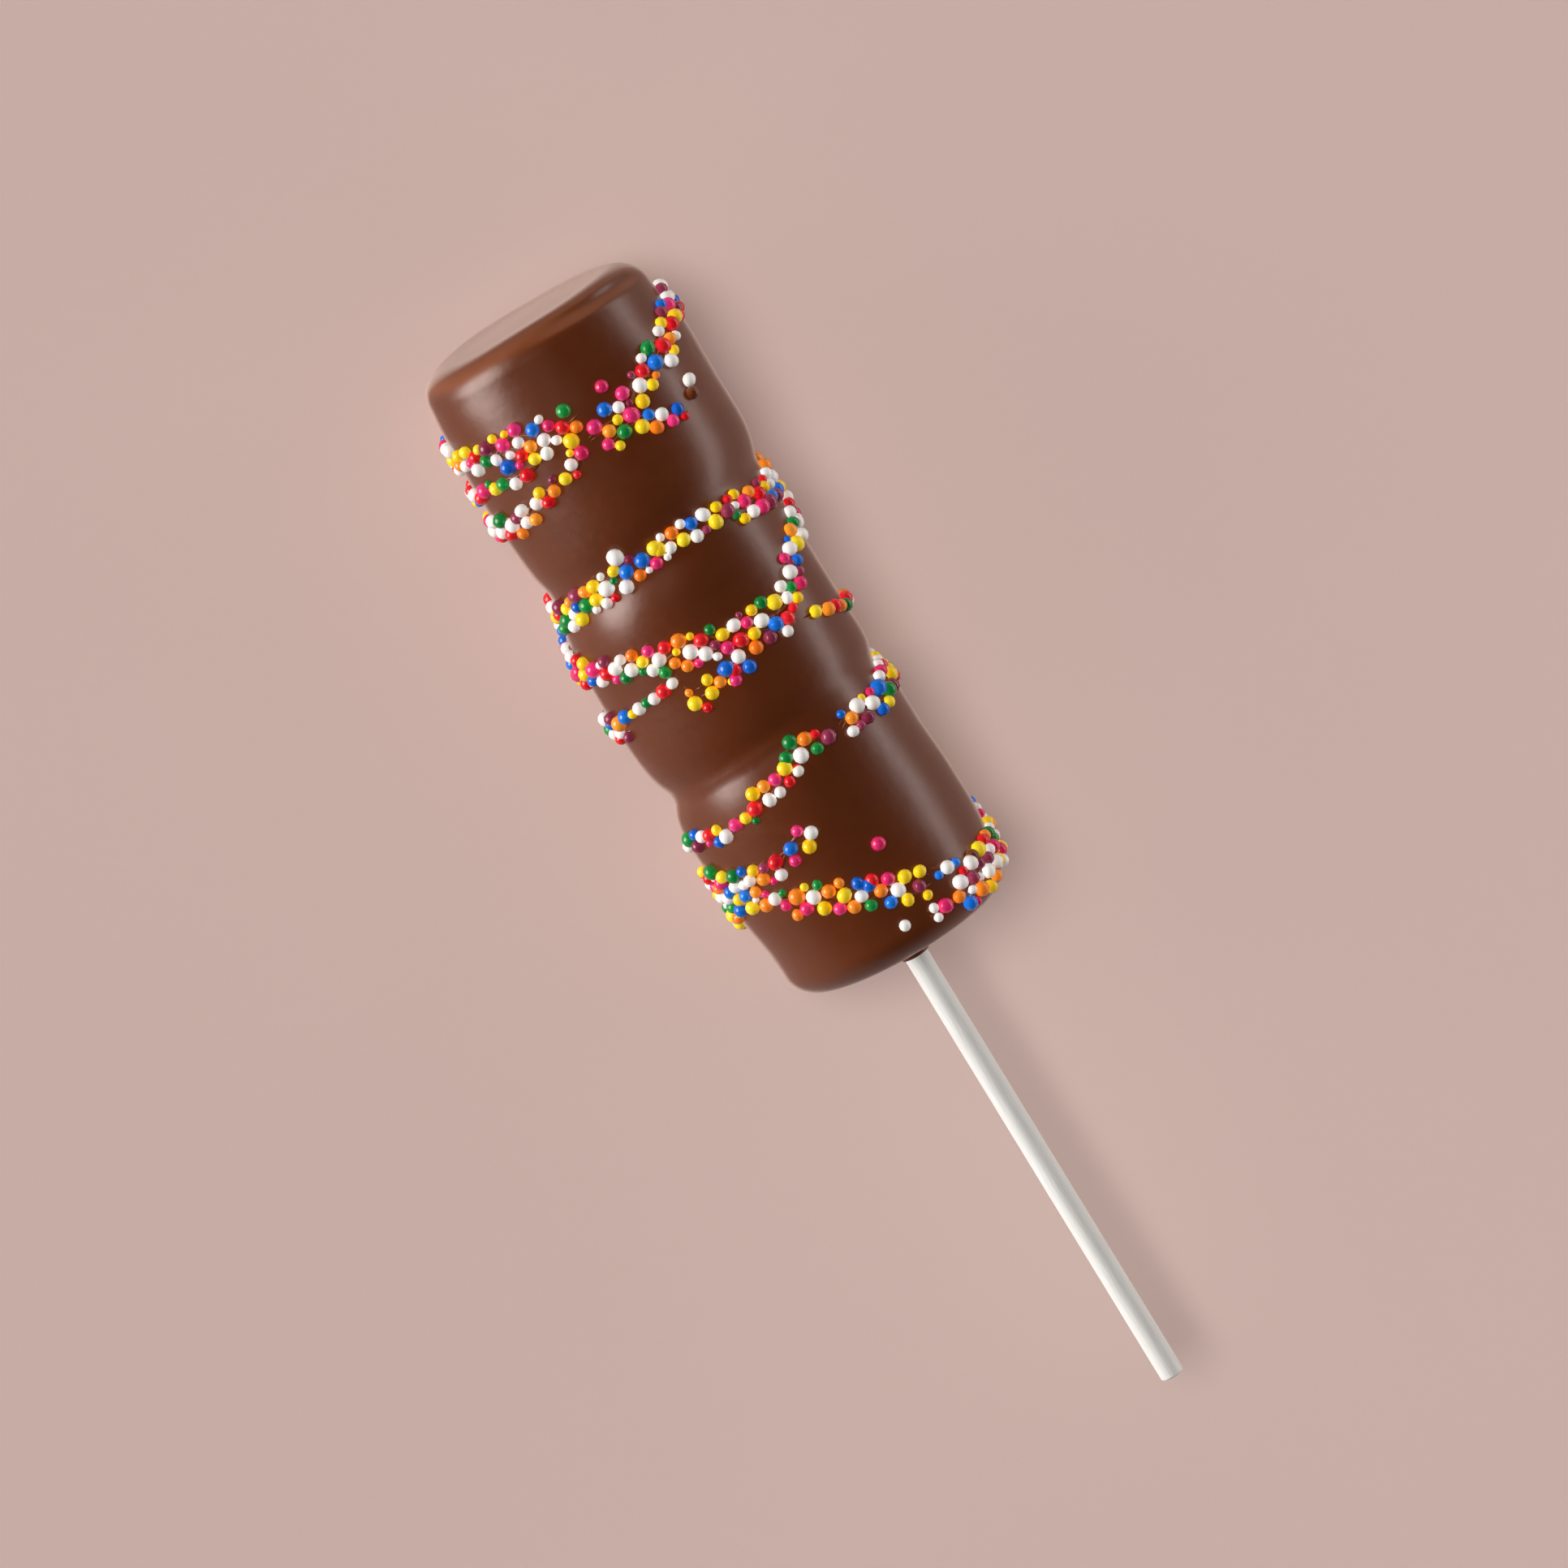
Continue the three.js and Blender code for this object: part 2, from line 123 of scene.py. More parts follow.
def side_radius(along):
    radius = through_stations(groove_radius, along)
    for one in marshmallows:
        radius = soft_max(radius, marshmallow_radius(one, along), groove_blend)
    return radius


def taper_cut(taper, along):
    return taper["depth"] * smooth_step((along - taper["start"]) / (taper["stop"] - taper["start"]))


def edge_radius(along):
    bottom = coat_bottom + bottom_dome
    into_bottom = max(bottom + bottom_rounding - along, 0) / bottom_rounding
    into_top = max(along - (coat_top - top_rounding), 0) / top_rounding
    bottom_cut = bottom_rounding * (1 - math.sqrt(max(1 - into_bottom ** 2, 0)))
    top_cut = top_rounding * (1 - math.sqrt(max(1 - into_top ** 2, 0)))
    side = side_radius(along) - taper_cut(bottom_taper, along) - taper_cut(top_taper, along)
    return side - bottom_cut - top_cut


print("radius at the first groove", round(side_radius(37.7), 2), "mm")

# %% [markdown]
# ## Nothing hand-dipped is straight
# The marshmallows sit a little beside one another, the grooves run aslant, and the chocolate is not
# equally thick all round. Small rules bend the turned form: a centre line, a slant near each groove,
# soft waves, a rim that rises and falls, with a shallow fold along its upper side, and more
# chocolate in the upper side of the first groove. Last, the underside is pressed flat where the pop
# lies on the table.

# %% The rules that bend the form
collar_foot = 4.2
unroll_radius = 18.3
centre_line = [
    (2.5, 0.1),
    (10, 0.1),
    (20, -0.4),
    (29, -0.8),
    (37.7, -0.6),
    (48, -1.1),
    (60, -1.1),
    (69, -0.4),
    (78, 0),
    (92, 0),
    (99, -0.5),
    (104.7, -0.6),
]
groove_slants = [
    {"at": 3, "sideways": -0.018, "upwards": 0.024, "reach": 8},
    {"at": 37.7, "sideways": 0.058, "upwards": 0.06, "reach": 9},
    {"at": 68.7, "sideways": 0.035, "upwards": 0.02, "reach": 9},
]
waves = [
    {"depth": 0.14, "round": 2, "twist": 0.09, "start": 1.1},
    {"depth": 0.1, "round": 3, "twist": -0.15, "start": 0.4},
    {"depth": 0.06, "round": 5, "twist": 0.23, "start": 2.6},
]
rim_reach = 6
rim_waves = [
    {"height": 0.14, "round": 2, "start": 0.8},
    {"height": 0.07, "round": 5, "start": 2.2},
]
fold_depth = 0.55
fold_half_width = 1.3
fold_opens = (-12, 22)
fold_closes = (58, 78)
fold_from_top = (1.3, 2.3)
fill_place = 37.7
fill_height = 0.55
fill_reach = 1.7
fill_opens = (-80, -45)
fill_closes = (50, 85)


def groove_lean(along, across, above):
    """How far the slant of the bottom edge and the grooves moves a point along the stick."""
    lean = 0
    for groove in groove_slants:
        near = math.exp(-(((along - groove["at"]) / groove["reach"]) ** 2))
        lean += near * (groove["sideways"] * across + groove["upwards"] * above)
    return lean


def unevenness(along, angle):
    turns = [(w["depth"], w["round"] * angle + w["twist"] * along + w["start"]) for w in waves]
    return sum(depth * math.sin(turn) for depth, turn in turns)


def between(limits, value):
    return smooth_step((value - limits[0]) / (limits[1] - limits[0]))


def degrees_from_top(angle):
    return (math.degrees(angle) + 180) % 360 - 180


def fill_at(along, angle):
    """How much more chocolate lies in the first groove at a place."""
    degrees = degrees_from_top(angle)
    near = math.exp(-(((along - fill_place) / fill_reach) ** 2))
    return fill_height * near * between(fill_opens, degrees) * (1 - between(fill_closes, degrees))


def fold_at(along, angle):
    """How deep the fold below the rim is at a place."""
    degrees = degrees_from_top(angle)
    onwards = between((fold_opens[0], fold_closes[1]), degrees)
    bed = coat_top - fold_from_top[0] - (fold_from_top[1] - fold_from_top[0]) * onwards
    within = max(1 - ((along - bed) / fold_half_width) ** 2, 0)
    return fold_depth * between(fold_opens, degrees) * (1 - between(fold_closes, degrees)) * within ** 2


def rim_rise(along, angle):
    share = between((coat_top - rim_reach, coat_top), along)
    return sum(share * w["height"] * math.sin(w["round"] * angle + w["start"]) for w in rim_waves)


def place_on_pop(radius, along, angle):
    share = smooth_step((radius - collar_foot) / (unroll_radius - collar_foot))
    uneven = radius + share * (unevenness(along, angle) + fill_at(along, angle) - fold_at(along, angle))
    across = share * through_stations(centre_line, along) + uneven * math.sin(angle)
    above = uneven * math.cos(angle)
    y = along + share * (groove_lean(along, across, above) + rim_rise(along, angle)) - middle
    z = max(above + axis_height, 0)
    return Vector((across + axis_side, y, z))


def coat_point(along, angle):
    side = side_radius(along)
    level = along - groove_lean(along, side * math.sin(angle), side * math.cos(angle))
    return place_on_pop(edge_radius(level), level, angle)


def coat_normal(along, angle):
    step = 0.05
    base = coat_point(along, angle)
    round_it = coat_point(along, angle + step / unroll_radius) - base
    along_it = coat_point(along + step, angle) - base
    return round_it.cross(along_it).normalized()


print("top of the middle bulge", [round(v, 1) for v in coat_point(53, 0)])

# %% [markdown]
# ## Finishing a piece
# Each piece is a bmesh in millimetres. When it is done its normals are pointed outwards, it is
# scaled to metres, it gets its material, it is hung under the root body, and the node of the solid
# that it stands for is hidden. The object itself stays at the origin, so patterns on
# Object coordinates stay where they are.

# %% A helper that finishes a piece


def finish_piece(name, bm, material, node):
    bmesh.ops.recalc_face_normals(bm, faces=bm.faces)
    bmesh.ops.scale(bm, vec=(MM, MM, MM), verts=bm.verts)
    mesh = bpy.data.meshes.new(name)
    bm.to_mesh(mesh)
    bm.free()
    mesh.shade_smooth()
    mesh.materials.append(material)
    piece = bpy.data.objects.new(name, mesh)
    bpy.context.scene.collection.objects.link(piece)
    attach(piece, "root")
    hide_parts(node)
    print(name, len(mesh.polygons), "faces")
    return piece


# %% [markdown]
# ## Shared effects for the materials
# Chocolate, sugar and paper all vary softly over their surface. A node group with a size and a
# contrast puts out that soft mask once, and each material uses it with its own values. Lengths in it
# are metres, as Object coordinates are.

# %% A soft mottling as a node group


def make_mottle_group():
    group = bpy.data.node_groups.new("soft_mottle", "ShaderNodeTree")
    tree = group.interface
    tree.new_socket("Vector", in_out="INPUT", socket_type="NodeSocketVector")
    tree.new_socket("Patches per metre", in_out="INPUT", socket_type="NodeSocketFloat")
    tree.new_socket("Low", in_out="INPUT", socket_type="NodeSocketFloat")
    tree.new_socket("High", in_out="INPUT", socket_type="NodeSocketFloat")
    tree.new_socket("Mask", in_out="OUTPUT", socket_type="NodeSocketFloat")
    given = group.nodes.new("NodeGroupInput")
    result = group.nodes.new("NodeGroupOutput")
    patches = group.nodes.new("ShaderNodeTexNoise")
    patches.inputs["Detail"].default_value = 3
    spread = group.nodes.new("ShaderNodeMapRange")
    spread.interpolation_type = "SMOOTHSTEP"
    link = group.links.new
    link(given.outputs["Vector"], patches.inputs["Vector"])
    link(given.outputs["Patches per metre"], patches.inputs["Scale"])
    link(patches.outputs["Fac"], spread.inputs["Value"])
    link(given.outputs["Low"], spread.inputs["From Min"])
    link(given.outputs["High"], spread.inputs["From Max"])
    link(spread.outputs["Result"], result.inputs["Mask"])
    return group


mottle_group = make_mottle_group()
print("group", mottle_group.name, "made")

# %% Small helpers for building materials


def srgb(red, green, blue):
    """A colour as a paint chart gives it, from 0 to 255, made linear for the shader."""
    linear = []
    for value in (red / 255, green / 255, blue / 255):
        linear.append(value / 12.92 if value <= 0.04045 else ((value + 0.055) / 1.055) ** 2.4)
    return (*linear, 1)


def new_material(name):
    material = bpy.data.materials.new(name)
    material.use_nodes = True
    return material, material.node_tree.nodes, material.node_tree.links


def add_mottle(nodes, links, vector, per_metre, low=0.4, high=0.6):
    group = nodes.new("ShaderNodeGroup")
    group.node_tree = mottle_group
    group.inputs["Patches per metre"].default_value = per_metre
    group.inputs["Low"].default_value = low
    group.inputs["High"].default_value = high
    links.new(vector, group.inputs["Vector"])
    return group.outputs["Mask"]


def add_mix(nodes, links, mask, first, second):
    mix = nodes.new("ShaderNodeMix")
    mix.data_type = "RGBA"
    links.new(mask, mix.inputs["Factor"])
    for socket, colour in ((mix.inputs["A"], first), (mix.inputs["B"], second)):
        if isinstance(colour, tuple):
            socket.default_value = colour
        else:
            links.new(colour, socket)
    return mix.outputs["Result"]


def add_range(nodes, links, mask, low, high):
    spread = nodes.new("ShaderNodeMapRange")
    spread.inputs["To Min"].default_value = low
    spread.inputs["To Max"].default_value = high
    links.new(mask, spread.inputs["Value"])
    return spread.outputs["Result"]


def add_bump(nodes, links, height, distance, strength):
    bump = nodes.new("ShaderNodeBump")
    bump.inputs["Distance"].default_value = distance
    bump.inputs["Strength"].default_value = strength
    links.new(height, bump.inputs["Height"])
    return bump.outputs["Normal"]


# %% [markdown]
# ## Milk chocolate
# Set milk chocolate is smooth and a little waxy: broad soft highlights, a warm brown that is never
# quite even, and a fine grain that only shows in the gloss. So the colour comes from two sizes of
# mottling, the roughness from a third, and the bump stays very shallow. On shoulders that face the
# covered end a lighter, warmer brown is mixed in as painted light from that end. Where the surface
# turns away from the eye a pale painted reflection is mixed into the colour, narrow on the sides and
# broader on the top face.

# %% The chocolate material


def make_chocolate():
    material, nodes, links = new_material("milk_chocolate")
    shader = nodes["Principled BSDF"]
    place = nodes.new("ShaderNodeTexCoord").outputs["Object"]
    broad = add_mottle(nodes, links, place, 70, 0.35, 0.68)
    small = add_mottle(nodes, links, place, 420, 0.35, 0.7)
    grain = add_mottle(nodes, links, place, 900, 0.3, 0.7)
    warm = add_mix(nodes, links, broad, srgb(88, 40, 16), srgb(96, 45, 19))
    even = add_mix(nodes, links, small, warm, srgb(92, 42, 17))
    facing = nodes.new("ShaderNodeLayerWeight")
    facing.inputs["Blend"].default_value = 0.5
    turned_to = nodes.new("ShaderNodeSeparateXYZ")
    links.new(nodes.new("ShaderNodeTexCoord").outputs["Normal"], turned_to.inputs["Vector"])
    # Painted light: faces turned towards the covered end are mixed towards a lighter, warmer brown, standing
    # in for light from that end; the top face keeps the plain colour.
    painted_light_mask = nodes.new("ShaderNodeMapRange")
    painted_light_mask.interpolation_type = "SMOOTHSTEP"
    painted_light_mask.inputs["From Min"].default_value = 0.3
    painted_light_mask.inputs["From Max"].default_value = 0.85
    painted_light_mask.inputs["To Max"].default_value = 0.55
    links.new(turned_to.outputs["Y"], painted_light_mask.inputs["Value"])
    on_top_face = nodes.new("ShaderNodeMapRange")
    on_top_face.inputs["From Min"].default_value = 0.6
    on_top_face.inputs["From Max"].default_value = 0.99
    links.new(turned_to.outputs["Y"], on_top_face.inputs["Value"])
    with_painted_light = add_mix(nodes, links, painted_light_mask.outputs["Result"], even, srgb(150, 84, 46))
    colour = add_mix(nodes, links, on_top_face.outputs["Result"], with_painted_light, even)
    # Painted reflection: where the surface turns away from the eye its colour is mixed towards a pale tone,
    # standing in for the reflection of the pale surroundings; it starts earlier on the top face.
    painted_reflection_mask = nodes.new("ShaderNodeMapRange")
    painted_reflection_mask.interpolation_type = "SMOOTHSTEP"
    painted_reflection_mask.inputs["From Max"].default_value = 0.94
    painted_reflection_mask.inputs["To Max"].default_value = 0.88
    links.new(facing.outputs["Facing"], painted_reflection_mask.inputs["Value"])
    painted_reflection_start = add_range(nodes, links, on_top_face.outputs["Result"], 0.74, 0.5)
    links.new(painted_reflection_start, painted_reflection_mask.inputs["From Min"])
    with_painted_reflection = add_mix(nodes, links, painted_reflection_mask.outputs["Result"], colour, srgb(188, 162, 150))
    links.new(with_painted_reflection, shader.inputs["Base Color"])
    links.new(add_range(nodes, links, grain, 0.31, 0.35), shader.inputs["Roughness"])
    links.new(add_bump(nodes, links, small, 0.00004, 0.25), shader.inputs["Normal"])
    shader.inputs["Specular IOR Level"].default_value = 0.5
    return material


chocolate = make_chocolate()
print("material", chocolate.name)

# %% [markdown]
# ## The chocolate coat
# The coat is a turned form, so it starts as half an outline: a few vertices in one plane, spun
# round the stick. The outline begins on the axis at the little collar round the stick, goes over the
# domed bottom and the rounded edge, up the side, over the rim and down into the shallow dish on top.
# After the spin each vertex is moved by the rules above.

# %% The outline of the coat
row_step = 0.6
rim_width = 2.2
dish_depth = 0.15
dish_sag = -0.1


def steps(low, high, count):
    return [low + (high - low) * i / count for i in range(count + 1)]


def collar_outline():
    """The chocolate that the stick drew down with it: a thin lip, then a hollow flare."""
    lip = [(0, 1.15), (stick_radius, 1.15), (stick_radius, 0.45), (1.85, 0.23), (2, 0.17), (2.14, 0.25)]
    foot = coat_bottom - 0.45
    flare = [(2.2 + 2 * t ** 1.8, 0.45 + foot * (1 - (1 - t) ** 2)) for t in steps(0, 1, 8)]
    return lip + flare


def bottom_outline():
    bottom = coat_bottom + bottom_dome
    flat = edge_radius(bottom + bottom_rounding) - bottom_rounding
    dome = [(r, coat_bottom + bottom_dome * (r / flat) ** 2) for r in steps(5, flat, 12)]
    turn = [bottom + bottom_rounding * (1 - math.cos(a)) for a in steps(0, math.pi / 2, 16)[1:-1]]
    return dome + [(edge_radius(along), along) for along in turn]


def side_outline():
    low = coat_bottom + bottom_dome + bottom_rounding
    high = coat_top - top_rounding
    rows = round((high - low) / row_step)
    return [(edge_radius(along), along) for along in steps(low, high, rows)]


def top_outline():
    turn = [coat_top - top_rounding * (1 - math.sin(a)) for a in steps(0, math.pi / 2, 24)[1:]]
    edge = [(edge_radius(along), along) for along in turn]
    crest = edge[-1][0]
    low = coat_top - dish_depth
    last = crest - 2 * rim_width
    inner = [(crest - 2 * rim_width * t, coat_top - dish_depth * smooth_step(t)) for t in steps(0, 1, 10)]
    dish = [(last * (1 - t), low - dish_sag * smooth_step(t)) for t in steps(0, 1, 14)]
    return edge + inner[1:] + dish[1:]


coat_outline = collar_outline() + bottom_outline() + side_outline() + top_outline()
print("the outline has", len(coat_outline), "points")

# %% Spin the outline and bend the form
coat_sides = 180


def spin_outline(outline, sides):
    bm = bmesh.new()
    corners = [bm.verts.new((radius, along, 0)) for radius, along in outline]
    lines = [bm.edges.new(pair) for pair in zip(corners, corners[1:])]
    bmesh.ops.spin(
        bm, geom=corners + lines, cent=(0, 0, 0), axis=(0, 1, 0), angle=2 * math.pi,
        steps=sides, use_merge=True,
    )
    bmesh.ops.remove_doubles(bm, verts=bm.verts, dist=0.0001)
    return bm


coat = spin_outline(coat_outline, coat_sides)
for vert in coat.verts:
    turned = math.atan2(vert.co.x, vert.co.z)
    vert.co = place_on_pop(math.hypot(vert.co.x, vert.co.z), vert.co.y, turned)
coat_piece = finish_piece("chocolate_coat", coat, chocolate, "coated_marshmallows")

# %% [markdown]
# ## Where the sugar balls lie
# Melted chocolate was drawn over the pop in zigzag threads, and the balls stuck to the threads. So
# the balls lie in bands, and each band is a short path: degrees round the pop from the top, and
# millimetres along the stick. Balls are strewn by a repeatable draw, the large ones first and
# smaller ones into the gaps. Each starts near the middle of its band and moves aside until no other
# ball is in the way, so they end up close together, and just where the solid has its own.

# %% The bands
bands = [
    (1.5, [(-88, 93.2), (-62, 92.6), (-45, 92)]),
    (2.4, [(-45, 91.9), (-30, 91.6), (-18, 91.2), (-6, 90.4)]),
    (0.9, [(-88, 87), (-58, 87.9), (-42, 87.6), (-31, 88.6)]),
    (1.4, [(-88, 81.8), (-70, 82.3), (-56, 81.8), (-46, 82.8)]),
    (1, [(-46, 82.8), (-36, 83.8), (-26, 84.6), (-17, 85.4), (-10, 87.6)]),
    (1.7, [(-1, 87.4), (10, 88.9), (22, 89.8), (32, 91.2)]),
    (1.8, [(32, 91.6), (46, 92.2), (58, 94.4), (72, 95.6), (90, 96.6)]),
    (1.2, [(2, 86), (14, 86.3), (24, 85.3), (38, 84.4)]),
    (1.8, [(-90, 66.6), (-60, 67.2), (-46, 68.2), (-32, 68.8)]),
    (1.5, [(-32, 68.8), (-20, 69.4), (-4, 69.9), (16, 70.2)]),
    (1.3, [(16, 70), (26, 69.4), (38, 69.2)]),
    (1.9, [(38, 68.8), (52, 67.9), (70, 67.4), (90, 68.4)]),
    (0.8, [(-90, 62.4), (-76, 61.2), (-66, 60.2)]),
    (1.5, [(-90, 58.6), (-60, 58.7), (-44, 58), (-30, 57.4)]),
    (2, [(-30, 57.2), (-14, 56), (0, 55.2), (12, 54.2)]),
    (1.5, [(0, 53.2), (14, 53), (26, 52.6), (34, 52.2)]),
    (1.8, [(14, 54.8), (28, 54.6), (44, 55)]),
    (1.5, [(44, 55.8), (52, 58.2), (62, 60), (74, 61.8), (90, 63.4)]),
    (1.7, [(-90, 49.8), (-66, 50.2)]),
    (0.5, [(-66, 51.2), (-56, 51.5), (-42, 52.1), (-31, 52.8), (-24, 54.2)]),
    (0.5, [(-23, 51), (-22, 48.8), (-18, 48)]),
    (1.1, [(-16, 50.2), (-8, 50.4), (0, 50.2), (7, 50.4)]),
    (0.6, [(44, 51), (54, 50.2), (62, 49.1), (74, 48.4), (90, 48)]),
    (0.9, [(-78, 31.4), (-60, 31.4), (-44, 31), (-30, 31.8)]),
    (1.3, [(-30, 32), (-20, 33.4), (-8, 34.6), (4, 36), (19, 36)]),
    (0.7, [(2, 37.6), (9, 37.6)]),
    (1.5, [(30, 35.8), (42, 35.9), (56, 35.5), (70, 36.2), (90, 37.4)]),
    (2.3, [(-90, 24.8), (-64, 23.8), (-46, 22.8)]),
    (1.4, [(-46, 23.4), (-32, 23.6), (-18, 25.2), (-9, 26.2)]),
    (1.1, [(-66, 20.9), (-50, 20.6), (-36, 19.4)]),
    (2.1, [(-34, 18.4), (-20, 17), (-6, 14.9), (6, 13.4), (20, 11.8)]),
    (0.8, [(28, 11.8), (33, 11), (38, 11.5)]),
    (0.9, [(17, 7.3), (26, 7), (34, 7)]),
    (2.5, [(34, 7.2), (46, 7.4), (60, 8.2), (90, 8.6)]),
    (1.9, [(90, 96.6), (140, 95.4), (196, 95.6), (240, 94.2), (272, 93.2)]),
    (1, [(196, 94.2), (236, 88.6), (272, 87)]),
    (1.3, [(150, 92), (206, 85.6), (244, 82.4), (272, 81.8)]),
    (1.8, [(90, 68.4), (140, 69.8), (210, 69.4), (270, 66.6)]),
    (1.5, [(90, 63.4), (132, 64), (206, 61.4), (270, 58.8)]),
    (0.9, [(206, 61.4), (240, 63), (270, 62.4)]),
    (1.1, [(90, 48), (136, 46.4), (214, 51.8), (270, 49.8)]),
    (1.4, [(90, 37.4), (140, 38.2), (214, 34), (232, 33.2)]),
    (1.9, [(90, 9), (132, 15.2), (214, 22.4), (270, 23.4)]),
    (1.4, [(90, 7.4), (140, 6.8), (206, 9.6), (240, 15.4), (294, 20.9)]),
]
lone_balls = [
    (11.5, 93, 1.05, "pink"),
    (49.3, 86.9, 1, "white"),
    (-21, 72.2, 1.3, "white"),
    (12, 19.7, 1.05, "pink"),
    (2, 8, 0.85, "white"),
]
print(len(bands), "bands")

# %% Strew the balls
ball_largest = 1.04
ball_smallest = 0.6
ball_variation = 0.14
ball_sunk = 0.3
ball_closeness = 0.95
tries_per_area = 18
settle_step = 0.15
start_spread = 0.5
strew_seed = 20231
cell_size = 3
whole_turn = 2 * math.pi * unroll_radius


def make_draw(seed):
    state = [seed]

    def draw():
        state[0] = state[0] * 48271 % 2147483647
        return state[0] / 2147483647

    return draw


def unroll_path(path):
    return [(math.radians(degrees) * unroll_radius, along) for degrees, along in path]


def leg_lengths(points):
    return [math.dist(a, b) for a, b in zip(points, points[1:])]


def point_beside_path(points, lengths, distance, aside):
    leg = 0
    while leg < len(lengths) - 1 and distance > lengths[leg]:
        distance -= lengths[leg]
        leg += 1
    (u0, v0), (u1, v1) = points[leg], points[leg + 1]
    du = (u1 - u0) / lengths[leg]
    dv = (v1 - v0) / lengths[leg]
    return u0 + du * distance - dv * aside, v0 + dv * distance + du * aside


def cell_of(u, v):
    return math.floor(u % whole_turn / cell_size), math.floor(v / cell_size)


def is_free(cells, u, v, radius):
    for i in (-1, 0, 1):
        for j in (-1, 0, 1):
            for near in cells.get(cell_of(u + i * cell_size, v + j * cell_size), []):
                across = abs(u % whole_turn - near["u"])
                du = min(across, whole_turn - across)
                if math.hypot(du, v - near["v"]) < (radius + near["radius"]) * ball_closeness:
                    return False
    return True


def add_ball(balls, cells, u, v, radius, colour=None):
    ball = {"u": u % whole_turn, "v": v, "radius": radius, "colour": colour}
    cells.setdefault(cell_of(u, v), []).append(ball)
    balls.append(ball)


def settle_ball(balls, cells, half, place, start, radius):
    aside = start
    while aside <= half:
        u, v = place(aside)
        if is_free(cells, u, v, radius):
            add_ball(balls, cells, u, v, radius)
            return
        aside += settle_step


def strew_balls():
    draw = make_draw(strew_seed)
    balls, cells = [], {}
    for degrees, along, radius, colour in lone_balls:
        add_ball(balls, cells, math.radians(degrees) * unroll_radius, along, radius, colour)
    for half, path in bands:
        points = unroll_path(path)
        lengths = leg_lengths(points)
        total = sum(lengths)
        tries = math.floor(total * (2 * half + 1) * tries_per_area + 0.5)
        for i in range(tries):
            distance = draw() * total
            way = -1 if draw() < 0.5 else 1
            start = draw() * start_spread * half
            shrink = ball_largest + (ball_smallest - ball_largest) * (i / tries)
            radius = shrink * (1 + (2 * draw() - 1) * ball_variation)

            def place(aside):
                return point_beside_path(points, lengths, distance, way * aside)

            settle_ball(balls, cells, half, place, start, radius)
    return balls, cells


balls, ball_cells = strew_balls()
print(len(balls), "sugar balls strewn")

# %% [markdown]
# ## Threads of chocolate under the balls
# The drizzled threads show in the gaps between the balls and at the ends of the bands. Each is a
# small circle that is extruded from place to place along its band, a little to one side and then to
# the other, and grows thin at both ends. It lies half sunk in the coat, and is pressed flat where the
# pop lies on the table. Two balls of chocolate, as large as the sugar balls, sit at the ends of two
# bands.

# %% Draw the threads
thread_radius = 0.32
thread_step = 0.9
thread_sides = 8
thread_swing = 0.62
thread_wave = 0.42
thread_tip = 1
drops = [(48.6, 10.3, 0.95), (47, 85.2, 0.9)]


def thread_frame(points, lengths, distance, swing, phase, radius):
    aside = swing * math.sin(phase + thread_wave * distance)
    u, v = point_beside_path(points, lengths, distance, aside)
    ahead_u, ahead_v = point_beside_path(points, lengths, distance + 0.05, aside)
    centre = coat_point(v, u / unroll_radius)
    outwards = coat_normal(v, u / unroll_radius)
    onwards = (coat_point(ahead_v, ahead_u / unroll_radius) - centre).normalized()
    aside_way = onwards.cross(outwards).normalized()
    turn = Matrix((aside_way, onwards.cross(aside_way), onwards)).transposed().to_4x4()
    return Matrix.Translation(centre - outwards * 0.08) @ turn @ Matrix.Scale(radius, 4)


def draw_thread(bm, points, lengths, swing, phase):
    total = sum(lengths)
    places = steps(-thread_tip, total + thread_tip, max(4, round(total / thread_step)))
    frames = []
    for number, distance in enumerate(places):
        left = min(number, len(places) - 1 - number)
        radius = thread_radius * (0.3, 0.75, 1)[min(left, 2)]
        frames.append(thread_frame(points, lengths, distance, swing, phase, radius))
    made = bmesh.ops.create_circle(bm, cap_ends=True, segments=thread_sides, radius=1, matrix=frames[0])
    face = made["verts"][0].link_faces[0]
    for last, frame_here in zip(frames, frames[1:]):
        grown = bmesh.ops.extrude_face_region(bm, geom=[face])["geom"]
        face = [item for item in grown if isinstance(item, bmesh.types.BMFace)][0]
        bmesh.ops.transform(bm, matrix=frame_here @ last.inverted(), verts=face.verts)


threads = bmesh.new()
for number, (half, path) in enumerate(bands):
    points = unroll_path(path)
    lengths = leg_lengths(points)
    draw_thread(threads, points, lengths, half * thread_swing, number * 1.7)
    if half > 0.8:
        draw_thread(threads, points, lengths, -half * thread_swing, number * 2.3 + 0.9)
for degrees, along, radius in drops:
    drop_angle = math.radians(degrees)
    drop_centre = coat_point(along, drop_angle) + coat_normal(along, drop_angle) * radius * 0.4
    move = Matrix.Translation(drop_centre)
    bmesh.ops.create_icosphere(threads, subdivisions=3, radius=radius, matrix=move)
for vert in threads.verts:
    vert.co.z = max(vert.co.z, 0)
threads_piece = finish_piece("chocolate_threads", threads, chocolate, "coated_marshmallows")

# %% [markdown]
# ## Sugar ball colours
# The balls are sugar with a thin polished shell, a little translucent and a little uneven in tone.
# Each ball carries its own random tone in an attribute of the mesh, so balls of one colour differ a
# little, and a fine mottling breaks the gloss.

# %% The sugar materials
sugar_colours = {
    "white": {"deep": (234, 230, 224), "light": (246, 244, 240), "share": 38},
    "yellow": {"deep": (242, 194, 10), "light": (250, 220, 40), "share": 17},
    "orange": {"deep": (240, 116, 20), "light": (250, 156, 46), "share": 11},
    "red": {"deep": (206, 16, 30), "light": (232, 36, 44), "share": 11},
    "pink": {"deep": (206, 28, 84), "light": (236, 54, 126), "share": 10},
    "plum": {"deep": (118, 34, 60), "light": (152, 56, 86), "share": 6},
    "blue": {"deep": (8, 84, 184), "light": (24, 118, 220), "share": 10},
    "green": {"deep": (10, 108, 48), "light": (24, 144, 62), "share": 9},
}


